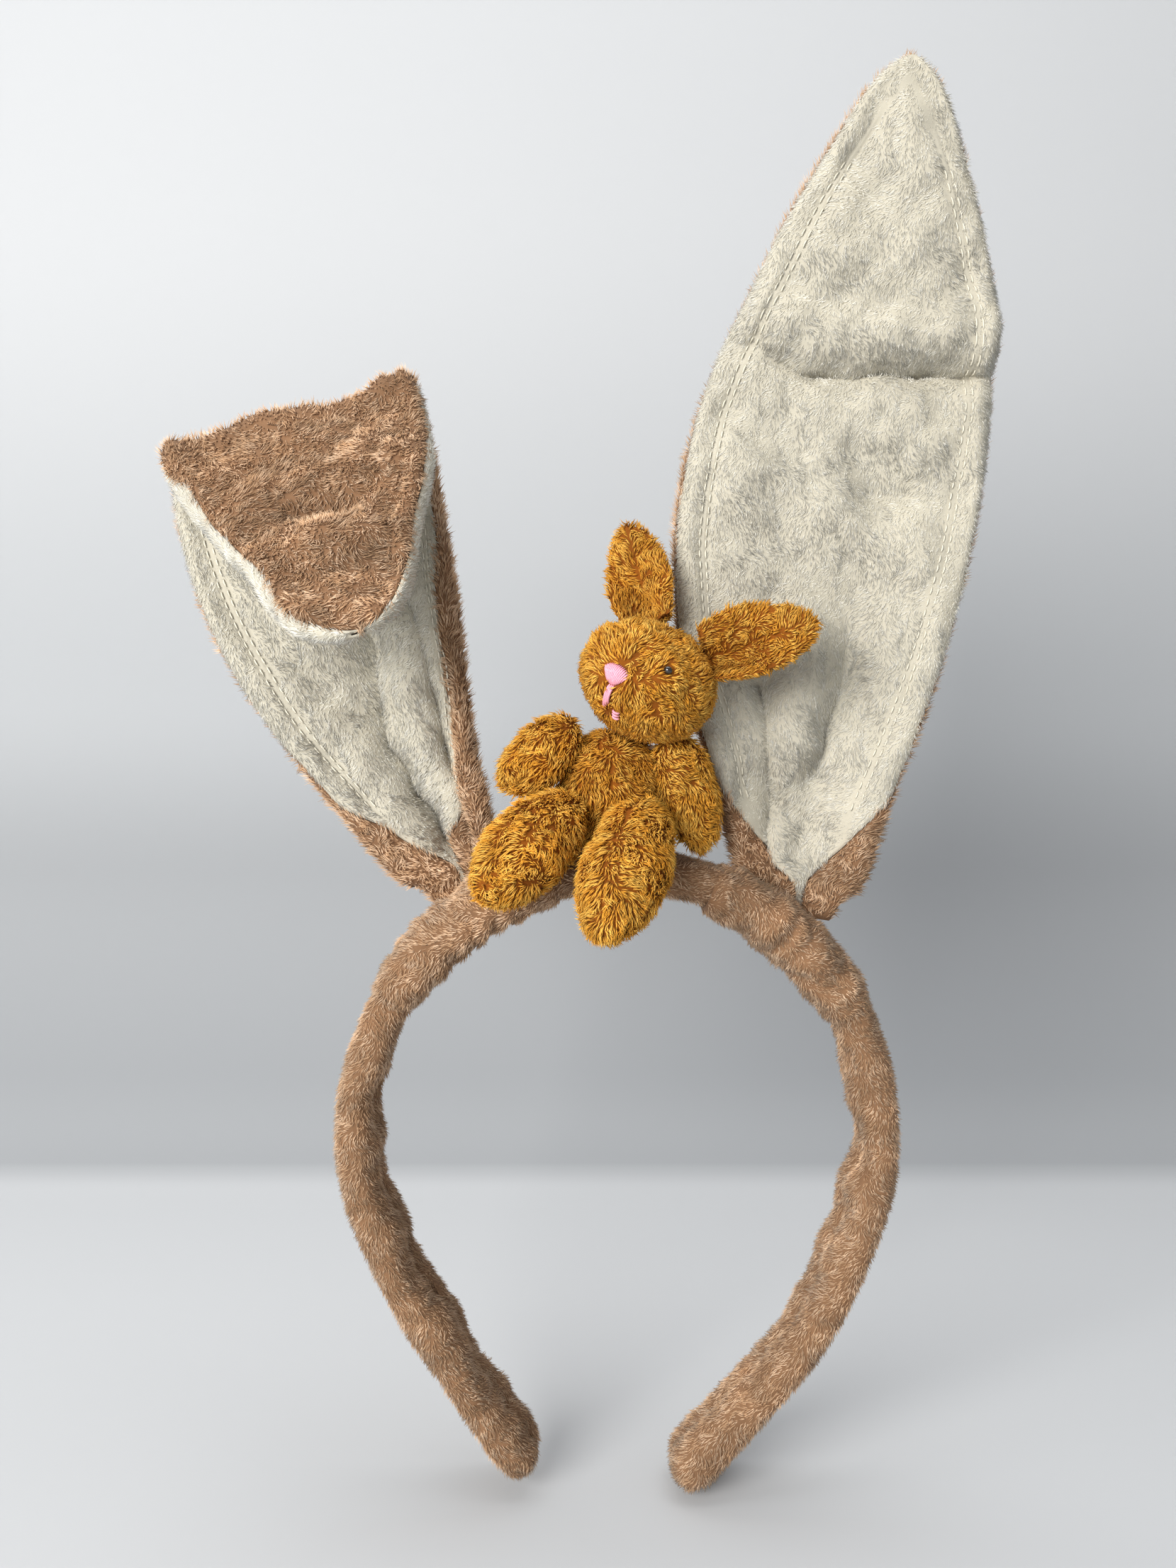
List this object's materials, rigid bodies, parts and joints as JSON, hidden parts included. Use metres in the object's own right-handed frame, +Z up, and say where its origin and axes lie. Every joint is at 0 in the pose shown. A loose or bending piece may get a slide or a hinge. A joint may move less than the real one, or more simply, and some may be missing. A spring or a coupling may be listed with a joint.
{
  "type": "animal ears headband",
  "caption": "Plush-covered U-shaped headband with two wired, bendable rabbit ears and a small jointed plush rabbit seated on the crown.",
  "frame": {"origin": "middle of the band's inner face at the crown, where the band sits on the top of the head", "axes": "+Z up through the crown, +X towards the wearer's left ear side (viewer's right), -Y towards the front of the headband"},
  "size_m": [0.2052, 0.0678, 0.3467],
  "materials": {
    "tan_plush": "short plush",
    "cream_plush": "short plush",
    "gold_plush": "shaggy plush",
    "stuffing": "loose fibre",
    "band_plastic": "matt",
    "ear_wire": "drawn wire",
    "pink_thread": "satin thread",
    "black_bead": "glossy",
    "thread": "twisted thread"
  },
  "bodies": {
    "band": {"band_core": "band_plastic", "band_sleeve": "tan_plush", "left_end_tuck": "tan_plush", "right_end_tuck": "tan_plush", "left_ear_collar": "tan_plush", "right_ear_collar": "tan_plush", "bunny_tack_thread": "thread", "bunny_torso_skin": "gold_plush", "bunny_torso_stuffing": "stuffing", "bunny_shoulder_thread": "thread", "bunny_hip_thread": "thread", "bunny_neck_thread": "thread"},
    "left_ear": {"left_ear_gather": "tan_plush", "left_ear_back_lower": "tan_plush", "left_ear_front_lower": "cream_plush", "left_ear_wire_lower": "ear_wire"},
    "left_ear_tip": {"left_ear_back_upper": "tan_plush", "left_ear_front_upper": "cream_plush", "left_ear_wire_upper": "ear_wire"},
    "right_ear": {"right_ear_gather": "tan_plush", "right_ear_back_lower": "tan_plush", "right_ear_front_lower": "cream_plush", "right_ear_wire_lower": "ear_wire"},
    "right_ear_tip": {"right_ear_back_upper": "tan_plush", "right_ear_front_upper": "cream_plush", "right_ear_wire_upper": "ear_wire"},
    "bunny_head": {"bunny_head_skin": "gold_plush", "bunny_head_stuffing": "stuffing", "bunny_left_ear": "gold_plush", "bunny_right_ear": "gold_plush", "bunny_left_eye": "black_bead", "bunny_right_eye": "black_bead", "bunny_nose": "pink_thread", "bunny_mouth": "pink_thread", "bunny_chin_stitch": "pink_thread"},
    "bunny_left_arm": {"bunny_left_arm_skin": "gold_plush", "bunny_left_arm_stuffing": "stuffing"},
    "bunny_left_leg": {"bunny_left_leg_skin": "gold_plush", "bunny_left_leg_stuffing": "stuffing"},
    "bunny_right_arm": {"bunny_right_arm_skin": "gold_plush", "bunny_right_arm_stuffing": "stuffing"},
    "bunny_right_leg": {"bunny_right_leg_skin": "gold_plush", "bunny_right_leg_stuffing": "stuffing"}
  },
  "joints": [
    {"name": "left_ear_tilt", "type": "hinge", "parent": "band", "child": "left_ear", "pos_m": [-0.03848, 0.0085, 0.00417], "axis": [0.9537, 0.0349, 0.2989], "range_deg": [-35, 4]},
    {"name": "left_ear_fold", "type": "hinge", "parent": "left_ear", "child": "left_ear_tip", "pos_m": [-0.0728, 0.00505, 0.11407], "axis": [0.9537, 0.0349, 0.2989], "range_deg": [-134, 8]},
    {"name": "right_ear_tilt", "type": "hinge", "parent": "band", "child": "right_ear", "pos_m": [0.04585, 0.0085, -0.00099], "axis": [0.993, 0, -0.1184], "range_deg": [-35, 0]},
    {"name": "right_ear_fold", "type": "hinge", "parent": "right_ear", "child": "right_ear_tip", "pos_m": [0.06032, 0.00505, 0.12036], "axis": [0.993, 0, -0.1184], "range_deg": [-15, 120]},
    {"name": "bunny_neck_turn", "type": "hinge", "parent": "band", "child": "bunny_head", "pos_m": [0.003, -0.0066, 0.0377], "axis": [0, 0, 1], "range_deg": [-55, 2]},
    {"name": "bunny_left_arm_swing", "type": "hinge", "parent": "band", "child": "bunny_left_arm", "pos_m": [-0.0116, -0.006, 0.0355], "axis": [1, 0, 0], "range_deg": [-50, 10]},
    {"name": "bunny_left_leg_swing", "type": "hinge", "parent": "band", "child": "bunny_left_leg", "pos_m": [-0.0122, -0.009, 0.0215], "axis": [1, 0, 0], "range_deg": [-8, 15]},
    {"name": "bunny_right_arm_swing", "type": "hinge", "parent": "band", "child": "bunny_right_arm", "pos_m": [0.0106, -0.006, 0.0355], "axis": [1, 0, 0], "range_deg": [-42, 15]},
    {"name": "bunny_right_leg_swing", "type": "hinge", "parent": "band", "child": "bunny_right_leg", "pos_m": [0.0089, -0.009, 0.0215], "axis": [1, 0, 0], "range_deg": [-15, 8]}
  ]
}
